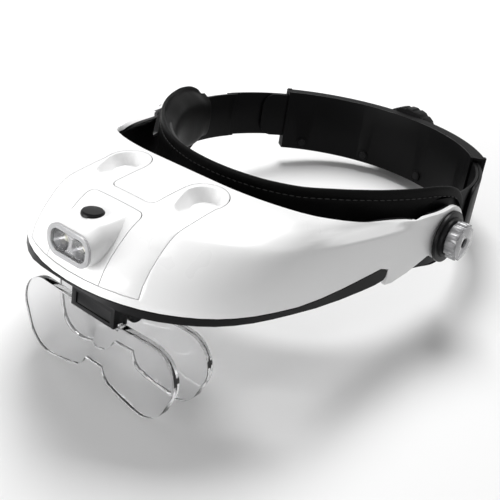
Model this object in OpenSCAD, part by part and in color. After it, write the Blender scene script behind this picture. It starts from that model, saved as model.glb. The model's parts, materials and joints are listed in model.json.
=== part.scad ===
// Lighted headband magnifier: a white visor with a twin lamp and two clear lens
// plates, hinged on a padded headband that a rear knob tightens.
// Everything is drawn as it is worn: X to the wearer's left, Y backwards, Z up, with
// Z = 0 at the bottom of the lens plates. place() then lays the whole thing down as it
// rests on a table, on the rear lens plate and the rear knob.

/* [Headband] */
// Radius of the circle that the head loop follows, to the inner face of the arms
loop_r = 88.3; // [80:0.1:94]
// Distance from the visor's pivots back to the centre of the head loop
loop_behind = 21; // [17:0.5:25]
// Thickness of one rack arm
arm_t = 1.6; // [1.2:0.1:2]
// Height of the rack arms
arm_h = 28; // [26:0.5:30]
// Height of the pivots above the arms' lower edge
arm_under = 12; // [10.5:0.5:13.5]
// Thickness of the front band strip
band_t = 2; // [1.6:0.1:2.4]
// Thickness of the leather on the outside of the band
leather_t = 1.4; // [1:0.1:1.8]
// Thickness of the forehead cushion at its crown
cushion_t = 5.3; // [4.8:0.1:6.5]

/* [Rear housing] */
// Angle from the middle to each end of the housing, in degrees
housing_half_angle = 51; // [44:1:56]
// How far the housing reaches below the arms
housing_under = 8; // [7.5:0.1:9.5]
// How far the housing reaches above the arms
housing_over = 2.5; // [2:0.1:4]
// Wall of the housing
housing_wall = 1.4; // [1.2:0.1:1.8]
// Diameter of the rear knob
rear_knob_d = 44; // [38:0.5:46]
// Thickness of the rear knob
rear_knob_t = 11; // [8:0.5:14]
// Slant round the back of the rear knob
knob_chamfer = 2; // [1:0.5:3]
// Number of grips round the rear knob
rear_knob_grips = 20; // [12:1:28]
// Teeth of the pinion
pinion_teeth = 9; // [7:1:12]

/* [Visor] */
// Wall of the white shell
shell_t = 2.2; // [1.8:0.1:2.6]
// Wall of the black frame inside it
frame_t = 1.8; // [1.4:0.1:2.2]
// Height of the visor's lower edge
visor_z = 58.5; // [57:0.5:60]
// Distance from the front lens plate back to the visor's pivots
pivot_y = 142; // [140:0.5:144]
// Height of the visor's pivots and of the rear knob's shaft
pivot_z = 81.5; // [80:0.5:83]
// Radius of the white arm round the pivot
arm_end_r = 16; // [15:0.5:17]
// Seam between the light cover and the shell
seam = 0.5; // [0.3:0.1:0.8]

/* [Side knobs] */
// Diameter of the clear side knobs
side_knob_d = 20; // [17:0.5:22]
// Thickness of the clear side knobs
side_knob_t = 6.5; // [5:0.5:9]
// Lobes round a side knob
side_knob_lobes = 12; // [8:1:16]
// Diameter of the pivot bolts
pivot_bolt_d = 5; // [4:0.5:6]
// Diameter of the black washer against the visor arm
washer_d = 27.5; // [24:0.5:29]

/* [Light cover] */
// Half of the cover's width
cover_half_w = 36.5; // [34:0.5:38]
// Height of the seam along the cover's lower front edge, from the visor's edge
cover_rise = 8; // [6.5:0.5:9.5]
// Radius of the rounded end behind each finger scoop
scoop_lobe_r = 11.6; // [10.5:0.1:12]
// Half of the width of the tongue between the scoops
tongue_half_w = 13.8; // [12:0.2:14.4]
// Depth of the finger scoops
scoop_depth = 6; // [4:0.5:7]

/* [Lamp] */
// Half of the width of the lamp plate
lamp_half_w = 17.6; // [16.6:0.2:19]
// Width of the lamp's bezel
bezel_w = 28; // [26:0.5:29]
// Height of the lamp's bezel
bezel_h = 15.5; // [14:0.5:16]
// Distance between the two light-emitting diodes
led_pitch = 12.4; // [11.5:0.1:13]
// Diameter of the black push button
button_d = 10.6; // [9:0.2:12]
// Travel of the push button
button_travel = 0.8; // [0.5:0.1:0.9]

/* [Lens plates] */
// Half of the width of a lens plate
lens_half_w = 53.5; // [50:0.5:56]
// Height of a lens plate without its tab
lens_h = 39.6; // [38.6:0.2:40.6]
// Thickness of a lens plate
lens_t = 3.3; // [2.8:0.1:3.6]
// Height that each of a plate's two lenses swells above it
lens_crown = 0.9; // [0.5:0.1:1.2]
// Distance from the front lens plate to the rear one
lens_pitch = 22; // [21:0.5:24]
// Width of the tab that goes into the carrier
tab_w = 27; // [24:0.5:28]
// Height of the tab
tab_h = 6.4; // [6:0.1:7]

/* [Battery tray] */
// Diameter of a cell
cell_d = 10.4; // [10:0.1:10.8]
// Length of a cell
cell_l = 44.2; // [43:0.1:45]
// Number of cells
cells = 3; // [1:1:3]

/* [Hidden] */
$fn = 72;

// Clearances
run_gap = 0.1;
side_gap = 0.3;
layer_gap = 0.4;
tight_gap = 0.05;
cut = 1;

// Colours
white_plastic = "white";
black_plastic = [0.06, 0.06, 0.065];
satin_black = [0.13, 0.13, 0.14];
leather_black = [0.03, 0.03, 0.03];
steel = [0.72, 0.73, 0.75];
clear = [0.85, 0.92, 0.95, 0.45];
brass = [0.8, 0.65, 0.3];
board_green = [0.08, 0.32, 0.18];

// Heights and depths that follow from the sizes above
loop_y = pivot_y + loop_behind;
arm_z = pivot_z - arm_under;
arm_top = arm_z + arm_h;
arm_rise = pivot_z - visor_z;
housing_z = arm_z - housing_under;
housing_h = housing_under + arm_h + housing_over;
cover_z = visor_z + cover_rise;

// Radii of the band's layers, from the arms outwards
strip_r = loop_r + arm_t + layer_gap;
strip_out_r = strip_r + band_t;
leather_r = strip_out_r + 0.5;
leather_out_r = leather_r + leather_t;
inner_skin_r = loop_r - cushion_t;

// Across the pivot, from the band outwards: ear boss, friction disc, black frame, shell
ear_face_x = strip_r + 1.1;
disc_t = 1;
disc_r = 8.5;
liner_depth = shell_t + layer_gap - 0.1;
frame_depth = liner_depth + frame_t;
pocket_x = ear_face_x + disc_t + side_gap;
arm_x = pocket_x + frame_depth;

// Resting place: the rear plate's lower rear edge and the rear knob's rim touch the table
case_out_r = strip_r + arm_t + side_gap + housing_wall + 1.6;
rear_face_y = loop_y + case_out_r;
knob_front_y = rear_face_y + side_gap;
knob_back_y = knob_front_y + rear_knob_t;
lens_x = 27;
lens_rim_r = 29.5;
lens_ball_r = (lens_rim_r * lens_rim_r + lens_crown * lens_crown) / (2 * lens_crown);
foot_y = lens_pitch + lens_half_t(norm([lens_half_w - 20.5 - lens_x, lens_h / 2]));
rest_pitch = atan2(pivot_z - rear_knob_d / 2, knob_back_y - knob_chamfer - foot_y);
module place() {
    translate([0, -centre_y, foot_y * sin(rest_pitch)])
        rotate([-rest_pitch, 0, 0])
            children();
}

// A cylinder along X from x0 to x1, at (y, z)
module x_rod(r, x0, x1, y, z) {
    translate([x0, y, z]) rotate([0, 90, 0]) cylinder(r = r, h = x1 - x0);
}

// A cylinder along Y from y0 to y1, at (x, z)
module y_rod(r, y0, y1, x, z) {
    translate([x, y0, z]) rotate([-90, 0, 0]) cylinder(r = r, h = y1 - y0);
}

// A box between two corners
module span(a, b) {
    translate(a) cube(b - a);
}

// Seen from the side: an outline in (y, z) pushed out along X
module side_prism(x0, x1) {
    translate([x0, 0, 0]) rotate([90, 0, 90]) linear_extrude(x1 - x0) children();
}

// Part of a ring round the head, from angle a0 to a1 measured from straight back
// towards +X
module loop_ring(r0, r1, z0, z1, a0, a1) {
    translate([0, loop_y, 0]) rotate([0, 0, 90 - a1]) rotate_extrude(angle = a1 - a0)
        translate([r0, z0]) square([r1 - r0, z1 - z0]);
}

// Turns what is drawn straight back to the angle a round the head
module round_head(a) {
    translate([0, loop_y, 0]) rotate([0, 0, -a]) children();
}

module both_sides() {
    children();
    mirror([1, 0, 0]) children();
}

// Curves: a soft quadratic curve along a control polygon, and a smooth blend between
// stations
function bend(a, b, c, t) = (1 - t) * (1 - t) * a + 2 * t * (1 - t) * b + t * t * c;
function soft_curve(p, steps) = let (last = len(p) - 3) concat(
    [for (k = [0:last]) for (i = [0:steps - 1]) bend(
        k == 0 ? p[0] : (p[k] + p[k + 1]) / 2, p[k + 1],
        k == last ? p[k + 2] : (p[k + 1] + p[k + 2]) / 2, i / steps)],
    [p[last + 2]]);
function blend4(a, b, c, d, t) = 0.5 * (2 * b + t * (c - a)
    + t * t * (2 * a - 5 * b + 4 * c - d) + t * t * t * (3 * b - a - 3 * c + d));
function smooth(s, steps) = let (n = len(s) - 1) concat(
    [for (k = [0:n - 1]) for (i = [0:steps - 1]) blend4(
        s[max(k - 1, 0)], s[k], s[k + 1], s[min(k + 2, n)], i / steps)],
    [s[n]]);

// The visor's outer surface. Each station, from the middle to the pivot, has the
// lower edge (x, y), the crease and the rear edge (x, y, height over the lower edge)
// and how far the wall swells between lower edge and crease.
stations = [
    [[0, -22], [0, 3, 35.5], [0, 48, 44], 5],
    [[20, -19.6], [18, 3.6, 35.3], [15, 48.2, 43.9], 5],
    [[38, -12.8], [34, 6, 34.7], [29, 49.2, 43.5], 4.6],
    [[52, -3], [48, 11, 33.9], [43, 51.6, 43.1], 4],
    [[arm_x - 34, 9], [arm_x - 37, 19.5, 32.9], [arm_x - 40, 56, 42.5], 3],
    [[arm_x - 26, 25], [arm_x - 26.5, 31.5, 32.1], [arm_x - 27.5, 62, 41.8], 2.2],
    [[arm_x - 20.2, 46], [arm_x - 19.6, 48, 31.5], [arm_x - 18, 72, 40.7], 1.6],
    [[arm_x - 15.5, 68], [arm_x - 14.4, 69, 31.1], [arm_x - 11.7, 85, 39.1], 1.2],
    [[arm_x - 11, 88], [arm_x - 10, 90, 31.3], [arm_x - 8.2, 99, 37.5], 0.8],
    [[arm_x - 7.6, pivot_y - 38], [arm_x - 7, pivot_y - 35, arm_rise + 8.9],
        [arm_x - 6.2, pivot_y - 31, arm_rise + 13.1], 0.5],
    [[arm_x - 4.6, pivot_y - 24], [arm_x - 4.5, pivot_y - 23.8, arm_rise + 9],
        [arm_x - 4.4, pivot_y - 23.5, arm_rise + 12.8], 0.2],
    for (s = [[-1.4, -12], [0, -2], [0, 8], [0, 20]]) [[arm_x + s[0], pivot_y + s[1]],
        [arm_x + s[0], pivot_y + s[1], arm_rise + 12.5],
        [arm_x + s[0], pivot_y + s[1], arm_rise + 18.5], 0]
];
front_y = stations[0][0][1];
strip_front_rise = 3;
function lying_y(y, z) = y * cos(rest_pitch) + z * sin(rest_pitch);
centre_y = (lying_y(front_y + 0.72, visor_z + strip_front_rise)
    + lying_y(knob_back_y, pivot_z + rear_knob_d / 2 - knob_chamfer)) / 2;

crown_z = 1;
function outwards(p) = let (v = [p[0], min(p[1] - 60, 0), 0]) v / norm(v);
function section_polygon(s, side) = let (
    m = function (p) [side * p[0], p[1], p[2]],
    up = [0, 0, visor_z], b = [s[0][0], s[0][1], 0] + up, c = s[1] + up, r = s[2] + up,
    o = outwards(b) * s[3])
    [m(b), m(b + (c - b) * 0.35 + o * 1.3), m(b + (c - b) * 0.8 + o * 0.9), m(c),
        m(c + (r - c) * 0.18 + [0, 0, crown_z / 2]), m(c + (r - c) * 0.6 + [0, 0, crown_z]),
        m(r)];
visor_polygons = concat(
    [for (i = [len(stations) - 1:-1:1]) section_polygon(stations[i], -1)],
    [for (s = stations) section_polygon(s, 1)]);
visor_rows = [for (p = smooth(visor_polygons, 2)) soft_curve(p, 3)];
function grid_normal(g, i, j) = let (
    u = g[min(i + 1, len(g) - 1)][j] - g[max(i - 1, 0)][j],
    v = g[i][min(j + 1, len(g[0]) - 1)] - g[i][max(j - 1, 0)],
    n = cross(u, v)) n / norm(n);
visor_normals = [for (i = [0:len(visor_rows) - 1]) [for (j = [0:len(visor_rows[0]) - 1])
    grid_normal(visor_rows, i, j)]];
function visor_layer(d) = [for (i = [0:len(visor_rows) - 1])
    [for (j = [0:len(visor_rows[0]) - 1]) visor_rows[i][j] - d * visor_normals[i][j]]];
function joined(g) = [for (row = g) for (p = row) p];

// A wall of the visor's form between two depths under its outer surface
module visor_wall(d0, d1) {
    outer = visor_layer(d0);
    inner = visor_layer(d1);
    n = len(outer);
    m = len(outer[0]);
    k = n * m;
    polyhedron(
        points = concat(joined(outer), joined(inner)),
        faces = concat(
            [for (i = [0:n - 2]) for (j = [0:m - 2]) let (a = i * m + j)
                for (f = [[a, a + m + 1, a + m], [a, a + 1, a + m + 1]]) f],
            [for (i = [0:n - 2]) for (j = [0:m - 2]) let (a = k + i * m + j)
                for (f = [[a, a + m, a + m + 1], [a, a + m + 1, a + 1]]) f],
            [for (i = [0:n - 2]) let (a = i * m, b = a + m)
                for (f = [[a, b, k + b], [a, k + b, k + a]]) f],
            [for (i = [0:n - 2]) let (a = i * m + m - 1, b = a + m)
                for (f = [[a, k + b, b], [a, k + a, k + b]]) f],
            [for (j = [0:m - 2]) let (a = j, b = j + 1)
                for (f = [[a, k + b, b], [a, k + a, k + b]]) f],
            [for (j = [0:m - 2]) let (a = (n - 1) * m + j, b = a + 1)
                for (f = [[a, b, k + b], [a, k + b, k + a]]) f]));
}

// The white shell seen from the side: its lower edge rises along the black strip and
// steps down again ahead of the arm
strip_end_y = pivot_y - 39;
module white_outline() {
    translate([0, visor_z]) polygon([[-30, 4.1], [48, 3.9], [61, 5.5], [74, 8.1],
        [pivot_y - 54, 11.5], [pivot_y - 45, 13.5], [strip_end_y, 12], [strip_end_y + 0.5, 3],
        [pivot_y - 34, 3.2], [pivot_y - 24.5, 6.8], [pivot_y - 12.5, arm_rise - 9],
        [pivot_y + 10, arm_rise - 6], [pivot_y, arm_rise + arm_end_r],
        [pivot_y - 9, arm_rise + arm_end_r + 0.4], [pivot_y - 16.3, arm_rise + arm_end_r - 0.2],
        [pivot_y - 24, arm_rise + arm_end_r + 10], [pivot_y - 30, 51.5], [-30, 51.5]]);
    translate([pivot_y, pivot_z]) difference() {
        circle(arm_end_r);
        translate([-arm_end_r - cut, -arm_end_r - cut])
            square([2 * (arm_end_r + cut), arm_end_r - 4]);
    }
    translate([pivot_y, pivot_z]) circle(arm_end_r - 3);
}

// The black strip under it, flush with the white surface; it thins out to nothing at the
// very front
module strip_outline() {
    translate([0, visor_z]) polygon([[front_y - 1, 3.4], [front_y + 0.6, strip_front_rise],
        [front_y + 2.5, 1.8], [front_y + 5.5, 0.4], [front_y + 9, 0], [60, 0], [74, 1.1],
        [pivot_y - 56.5, 2.8], [pivot_y - 46.5, 4.4], [pivot_y - 41, 6.1], [strip_end_y - seam, 8],
        [strip_end_y - seam, 11.5], [pivot_y - 45, 13], [pivot_y - 54, 11], [74, 7.6],
        [61, 5], [48, 3.4], [front_y - 1, 3.6]]);
}

// The frame's liner under the white shell
liner_end_r = arm_end_r - 0.5;
module liner_outline() {
    translate([0, visor_z]) polygon([[-30, 4], [front_y + 6, 3], [front_y + 14, 0.4], [60, 0.4],
        [74, 1.5], [pivot_y - 56.5, 3.3],
        [pivot_y - 47, 4.7], [pivot_y - 24, 7.2], [pivot_y - 12, 7],
        [pivot_y - 2, arm_rise - liner_end_r], [pivot_y, arm_rise],
        [pivot_y, arm_rise + liner_end_r], [pivot_y - 9, arm_rise + liner_end_r],
        [pivot_y - 16, arm_rise + liner_end_r - 0.6], [pivot_y - 24, arm_rise + 24],
        [pivot_y - 30, 49.5], [-30, 49.5]]);
    translate([pivot_y, pivot_z]) circle(liner_end_r);
}

// The light cover seen from above, grown by g
module cover_outline(g) {
    difference() {
        union() {
            translate([-cover_half_w - g, -40]) square([2 * (cover_half_w + g), 75]);
            for (s = [-1, 1]) translate([s * scoop_x, 35]) circle(scoop_lobe_r + g);
        }
        hull() {
            for (s = [-1, 1]) translate([s * (tongue_half_w - 4), 17.5]) circle(4 - g);
            translate([-tongue_half_w + g, 60]) square([2 * (tongue_half_w - g), cut]);
        }
    }
}

// The lamp plate seen from above, grown by g
module lamp_outline(g) {
    hull() {
        for (s = [-1, 1]) translate([s * (lamp_half_w - 4), 2.5]) circle(4 + g);
        translate([-lamp_half_w - g, -40]) square([2 * (lamp_half_w + g), cut]);
    }
}

module pivot_bores(x0, x1) {
    both_sides() x_rod(pivot_bolt_d / 2 + run_gap, x0, x1, pivot_y, pivot_z);
}

// Room inside the visor's arms for the top of the band when the visor is tilted up
module band_relief(x) {
    both_sides() translate([0, pivot_y, pivot_z]) rotate([0, 90, 0]) rotate([0, 0, 195])
        rotate_extrude(angle = 80) translate([leather_cut_r - 0.4, arm_x - 20])
            square([9.2, x - arm_x + 20]);
}

module visor_shell() {
    color(white_plastic) place() difference() {
        intersection() {
            visor_wall(0, shell_t);
            side_prism(-arm_x - cut, arm_x + cut) white_outline();
        }
        translate([0, 0, cover_z - seam / 2]) linear_extrude(60) cover_outline(seam / 2);
        pivot_bores(arm_x - 8, arm_x + cut);
        band_relief(leather_out_r - 3);
    }
}

// Black frame inside the shell, with the opening that the lamp and the batteries sit in
leather_cut_r = arm_end_r + 3.6;
post_places = [[40, 12, visor_z + 31.3], [40, 36, visor_z + 36]];
floor_z = visor_z + 1.5;
floor_t = 2;
module visor_frame() {
    color(black_plastic) place() difference() {
        union() {
            intersection() {
                visor_wall(0, frame_depth - 0.2);
                side_prism(-arm_x - cut, arm_x + cut) strip_outline();
            }
            difference() {
                intersection() {
                    visor_wall(liner_depth, frame_depth);
                    side_prism(-arm_x - cut, arm_x + cut) liner_outline();
                }
                translate([0, 0, visor_z + 9.5]) linear_extrude(60) {
                    translate([-30, -40]) square([60, 60]);
                    translate([-34, 15]) square([68, 19]);
                    translate([-26, 19]) square([52, 26]);
                    for (s = [-1, 1]) translate([s * scoop_x, 34]) circle(scoop_lobe_r + 0.3);
                }
            }
            both_sides() for (p = post_places) translate([p[0], p[1], floor_z + floor_t + run_gap])
                cylinder(r = 3, h = p[2] - floor_z - floor_t);
        }
        both_sides() for (p = post_places) translate([p[0], p[1], floor_z])
            cylinder(r = cover_screw_r + 0.05, h = 12);
        pivot_bores(arm_x - 8, arm_x + cut);
        both_sides() x_rod(disc_r + 0.7, arm_x - 12, pocket_x, pivot_y, pivot_z);
        band_relief(leather_out_r - 0.5);
    }
}

// Stepped washer between the visor arm and the side knob
shell_face_x = arm_x + 0.2;
module left_washer() {
    color(black_plastic) place() difference() {
        union() {
            x_rod(washer_d / 2, shell_face_x, shell_face_x + 2, pivot_y, pivot_z);
            x_rod(washer_d / 2 - 2.75, shell_face_x + 1.9, knob_face_x - 0.2, pivot_y, pivot_z);
        }
        x_rod(pivot_bolt_d / 2 + run_gap, shell_face_x - cut, knob_face_x, pivot_y, pivot_z);
    }
}

module right_washer() {
    mirror([1, 0, 0]) left_washer();
}

// Clear lobed knob with a nut pressed into it
knob_face_x = arm_x + 4.2;
nut_af = 8;
nut_t = 4;
module nut_prism(af, x0, x1) {
    translate([x0, pivot_y, pivot_z]) rotate([0, 90, 0])
        cylinder(r = af / 2 / cos(30), h = x1 - x0, $fn = 6);
}

module left_side_knob() {
    lobe_r = PI * (side_knob_d / 2 - 1.3) / side_knob_lobes * 0.72;
    color(clear) place() difference() {
        union() {
            x_rod(side_knob_d / 2 - 1.3, knob_face_x, knob_face_x + side_knob_t, pivot_y, pivot_z);
            for (i = [0:side_knob_lobes - 1]) let (a = 360 * i / side_knob_lobes)
                x_rod(lobe_r, knob_face_x + 0.6, knob_face_x + side_knob_t - 0.6,
                    pivot_y + (side_knob_d / 2 - lobe_r) * cos(a),
                    pivot_z + (side_knob_d / 2 - lobe_r) * sin(a));
        }
        nut_prism(nut_af + 0.1, knob_face_x - cut, knob_face_x + nut_t + 0.1);
        x_rod(pivot_bolt_d / 2 + 0.3, knob_face_x, knob_face_x + side_knob_t + cut, pivot_y,
            pivot_z);
    }
}

module right_side_knob() {
    mirror([1, 0, 0]) left_side_knob();
}

module left_knob_nut() {
    color(steel) place() difference() {
        nut_prism(nut_af, knob_face_x, knob_face_x + nut_t);
        x_rod(pivot_bolt_d / 2 + run_gap, knob_face_x - cut, knob_face_x + nut_t + cut,
            pivot_y, pivot_z);
    }
}

module right_knob_nut() {
    mirror([1, 0, 0]) left_knob_nut();
}

// Headband: strip, leather sleeve and cushion
strip_ring_end = 94;
module left_ear_boss() {
    difference() {
        x_rod(10, ear_face_x - 7, ear_face_x, pivot_y, pivot_z);
        translate([0, loop_y, 0]) cylinder(r = strip_r + 0.1, h = 200);
    }
}

rivet_r = 1.6;
rivet_angle = 97.5;
rivet_heights = [arm_z + 4.5, arm_top - 4.5];
module each_rivet() {
    for (a = [-rivet_angle, rivet_angle]) for (z = rivet_heights) round_head(a)
        translate([0, 0, z]) children();
}

module headband_strip() {
    color(satin_black) place() difference() {
        union() {
            loop_ring(strip_r, strip_out_r, arm_z + 1.5, arm_top + 1.5,
                strip_ring_end, 360 - strip_ring_end);
            left_ear_boss();
            mirror([1, 0, 0]) left_ear_boss();
        }
        both_sides() x_rod(pivot_bolt_d / 2 + tight_gap, loop_r - 20, ear_face_x + cut, pivot_y,
            pivot_z);
        each_rivet() y_rod(rivet_r + tight_gap, strip_r - cut, strip_out_r + cut, 0, 0);
    }
}

// The leather seen from the side, shrunk by g
module leather_outline(g) {
    translate([0, arm_z]) offset(delta = -g) polygon([[60, -0.5], [60, arm_h + 3.8],
        [74, arm_h + 4], [82, arm_h + 4.8], [90, arm_h + 6.5], [100, arm_h + 7.7],
        [115, arm_h + 8.8], [pivot_y - 7, arm_h + 9.5], [pivot_y + 4, arm_h + 8.5],
        [loop_y - 9, arm_h + 5.5], [loop_y - 4, arm_h + 1], [loop_y - 2, arm_h - 5.5],
        [loop_y - 2, 2.5], [loop_y - 5, -1.5], [loop_y - 11, -7], [pivot_y + 4, -8.5],
        [pivot_y - 12, -7.5], [110, -5], [90, -2], [74, -0.5]]);
}

module band_leather() {
    color(leather_black) place() difference() {
        intersection() {
            translate([0, loop_y, arm_z]) rotate([0, 0, 180]) rotate_extrude(angle = 180)
                polygon([[inner_skin_r + 2.5, -9.5], [leather_out_r - 1.6, -9.5],
                    [leather_out_r - 0.4, -7.5], [leather_out_r, 0.5],
                    [leather_out_r, arm_h + 0.5], [leather_out_r - 0.4, arm_h + 6.5],
                    [leather_out_r - 1.2, arm_h + 10.5], [inner_skin_r + 4.5, arm_h + 10.5],
                    [inner_skin_r + 1.5, arm_h + 5.5], [inner_skin_r, arm_h - 2.5],
                    [inner_skin_r, 5.5], [inner_skin_r + 0.8, -3.5]]);
            side_prism(-arm_x - 3, arm_x + 3) leather_outline(0);
        }
        intersection() {
            translate([0, loop_y, arm_z]) rotate([0, 0, 175]) rotate_extrude(angle = 190)
                polygon([[inner_skin_r + 2.6, -7.5], [leather_r - 1, -7.5], [leather_r, -3.5],
                    [leather_r, arm_h + 2.5], [leather_r - 2, arm_h + 5.5],
                    [inner_skin_r + 4, arm_h + 5.5], [inner_skin_r + 1.3, arm_h - 0.5],
                    [inner_skin_r + 1.3, 4.5]]);
            side_prism(-arm_x - 3, arm_x + 3) union() {
                leather_outline(leather_t);
                translate([loop_y - 13, arm_z - 1]) square([20, arm_h + 2.5]);
            }
        }
        both_sides() x_rod(leather_cut_r, loop_r - 2.8, arm_x + 3, pivot_y, pivot_z);
    }
}

module forehead_cushion() {
    color(leather_black) place() intersection() {
        translate([0, loop_y, arm_z]) {
            rotate([0, 0, 180 + 28]) rotate_extrude(angle = 124)
                polygon([[inner_skin_r + 3.6, -2.5], [strip_r - 0.8, -2.5],
                    [strip_r - 0.3, 0.5], [strip_r - 0.3, arm_h + 1.5],
                    [strip_r - 0.8, arm_h + 3.5], [inner_skin_r + 4.2, arm_h + 3.5],
                    [inner_skin_r + 1.9, arm_h - 1.5], [inner_skin_r + 1.6, arm_h / 2 + 1.5],
                    [inner_skin_r + 1.9, 5.5]]);
            rotate([0, 0, 180 + 22]) rotate_extrude(angle = 136)
                polygon([[inner_skin_r + 3.4, -1.5], [loop_r - 0.7, -1.5], [loop_r - 0.4, 1.5],
                    [loop_r - 0.4, arm_h + 0.5], [inner_skin_r + 4, arm_h + 2.5],
                    [inner_skin_r + 2, arm_h - 1.5], [inner_skin_r + 1.8, 6.5]]);
        }
        side_prism(-arm_x, arm_x) leather_outline(leather_t + 0.6);
    }
}

// Rack arms: the left one runs inside, the right one outside, and both run through the
// housing, where the pinion's teeth meet the teeth of their slots
slot_low = -7;
slot_h = 14;
tooth_h = 2;
tooth_gap_angle = 1.886;
module arm_slot(r, a0, a1, teeth_up) {
    tooth_z = pivot_z + (teeth_up ? slot_low + slot_h - cut : slot_low + cut);
    low = pivot_z + slot_low + (teeth_up ? 0 : tooth_h);
    loop_ring(r - cut, r + arm_t + cut, low, low + slot_h - tooth_h, a0, a1);
    for (a = [a0 + tooth_gap_angle:tooth_gap_angle:a1 - tooth_gap_angle]) round_head(a)
        translate([0, r - cut, tooth_z]) rotate([-90, 0, 0]) linear_extrude(arm_t + 2 * cut)
            polygon([[-0.5, -cut], [0.5, -cut], [0.95, 1.4], [-0.95, 1.4]] * (teeth_up ? 1 : -1));
}

module left_rack_arm() {
    color(satin_black) place() difference() {
        loop_ring(loop_r, loop_r + arm_t, arm_z, arm_z + arm_h, left_tail_angle, ear_angle);
        arm_slot(loop_r, -50, 12, true);
        tail_corners(loop_r, left_tail_angle, 1);
        x_rod(pivot_bolt_d / 2 + tight_gap, loop_r - 20, loop_r + 7, pivot_y, pivot_z);
        for (z = rivet_heights) round_head(rivet_angle)
            y_rod(rivet_r + tight_gap, loop_r - 8, loop_r + 7, 0, z);
    }
}

left_tail_angle = -62;
right_tail_angle = 82;
ear_angle = 112;
jog_angle = -77;
jog_turn = 2;
// Rounds a tail's two corners
module tail_corners(r, a, side) {
    corner_r = 9;
    for (s = [-1, 1]) translate([0, 0, arm_z + arm_h / 2]) round_head(a)
        mirror([side < 0 ? 1 : 0, 0, 0]) translate([0, r - 4, 0]) rotate([-90, 0, 0])
        linear_extrude(arm_t + 6) difference() {
            translate([-cut, s > 0 ? arm_h / 2 - corner_r : -arm_h / 2 - cut])
                square([corner_r + cut, corner_r + cut]);
            translate([corner_r, s * (arm_h / 2 - corner_r)]) circle(corner_r + 0.15);
        }
}

module right_rack_arm() {
    color(satin_black) place() difference() {
        union() {
            loop_ring(strip_r, strip_r + arm_t, arm_z, arm_z + arm_h, jog_angle,
                right_tail_angle);
            loop_ring(loop_r + tight_gap, strip_r + arm_t - tight_gap, arm_z + tight_gap,
                arm_top - tight_gap, jog_angle - jog_turn, jog_angle + jog_turn);
            loop_ring(loop_r, loop_r + arm_t, arm_z, arm_z + arm_h, -ear_angle, jog_angle);
        }
        arm_slot(strip_r, -12, 50, false);
        tail_corners(strip_r, right_tail_angle, -1);
        x_rod(pivot_bolt_d / 2 + tight_gap, -loop_r - 7, -loop_r + 20, pivot_y, pivot_z);
        for (z = rivet_heights) round_head(-rivet_angle)
            y_rod(rivet_r + tight_gap, loop_r - 8, loop_r + 7, 0, z);
    }
}

module arm_rivets() {
    color(steel) place() each_rivet() {
        y_rod(rivet_r, loop_r - 0.8, strip_out_r - 0.2, 0, 0);
        y_rod(rivet_r + 1.2, loop_r - 0.8, loop_r - tight_gap, 0, 0);
    }
}

bolt_head_x = loop_r - 5;
module left_pivot_bolt() {
    color(steel) place() {
        x_rod(pivot_bolt_d / 2, bolt_head_x, knob_face_x + side_knob_t - 1, pivot_y, pivot_z);
        x_rod(3.8, bolt_head_x, bolt_head_x + 1.3, pivot_y, pivot_z);
    }
}

module right_pivot_bolt() {
    mirror([1, 0, 0]) left_pivot_bolt();
}

module left_friction_disc() {
    color(satin_black) place() difference() {
        x_rod(disc_r, ear_face_x + 0.1, ear_face_x + 0.1 + disc_t, pivot_y, pivot_z);
        x_rod(pivot_bolt_d / 2 + tight_gap, ear_face_x, ear_face_x + disc_t + cut, pivot_y,
            pivot_z);
    }
}

module right_friction_disc() {
    mirror([1, 0, 0]) left_friction_disc();
}

// Rear housing: an inner cover inside the rims of an outer cover
case_inner_r = loop_r - 1.4;
rim_r = case_inner_r + 1.3;
screw_angles = [-42, -14, 14, 42];
case_screw_z = arm_z - 3.4;
// The same ring in flat facets of about two degrees
module facet_ring(r0, r1, z0, z1, a0, a1) {
    steps = ceil((a1 - a0) / 2);
    turn = (a1 - a0) / steps;
    translate([0, loop_y, z0]) linear_extrude(z1 - z0) polygon(concat(
        [for (i = [0:steps]) r1 * [sin(a0 + i * turn), cos(a0 + i * turn)]],
        [for (i = [steps:-1:0]) r0 * [sin(a0 + i * turn), cos(a0 + i * turn)]]));
}

module housing_outer_cover() {
    color(satin_black) place() difference() {
        union() {
            facet_ring(case_out_r - housing_wall, case_out_r, housing_z, housing_z + housing_h,
                -housing_half_angle, housing_half_angle);
            for (z = [housing_z, housing_z + housing_h - housing_wall])
                facet_ring(rim_r, case_out_r - 0.1, z, z + housing_wall,
                    -housing_half_angle, housing_half_angle);
            for (z = [arm_z + 1.2, arm_top - 2.5])
                facet_ring(strip_r + arm_t + run_gap, case_out_r - 0.1, z, z + 1.2,
                    -housing_half_angle + 1, housing_half_angle - 1);
            for (s = [-1, 1]) facet_ring(case_out_r - 0.5, case_out_r + 0.9, housing_z - 0.3,
                housing_z + housing_h + 0.3, s * (housing_half_angle - 1.2) - 0.8,
                s * (housing_half_angle - 1.2) + 0.8);
            difference() {
                y_rod(rear_knob_d / 2 + 1, loop_y + case_out_r - 12, rear_face_y, 0, pivot_z);
                translate([0, loop_y, 0]) cylinder(r = case_out_r - 0.7, h = 200);
                translate([-40, loop_y, housing_z + housing_h - 0.4]) cube([80, 120, 20]);
                translate([-40, loop_y, housing_z - 19.6]) cube([80, 120, 20]);
            }
            for (a = screw_angles) round_head(a)
                y_rod(2.8, rim_r + 0.2, case_out_r - 0.5, 0, case_screw_z);
        }
        for (a = screw_angles) round_head(a)
            y_rod(case_screw_r + 0.05, rim_r - cut, case_out_r - 1.2, 0, case_screw_z);
        y_rod(shaft_r + run_gap, loop_y + case_out_r - 12, rear_face_y + cut, 0, pivot_z);
        detent_pocket(0.3);
    }
}

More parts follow.
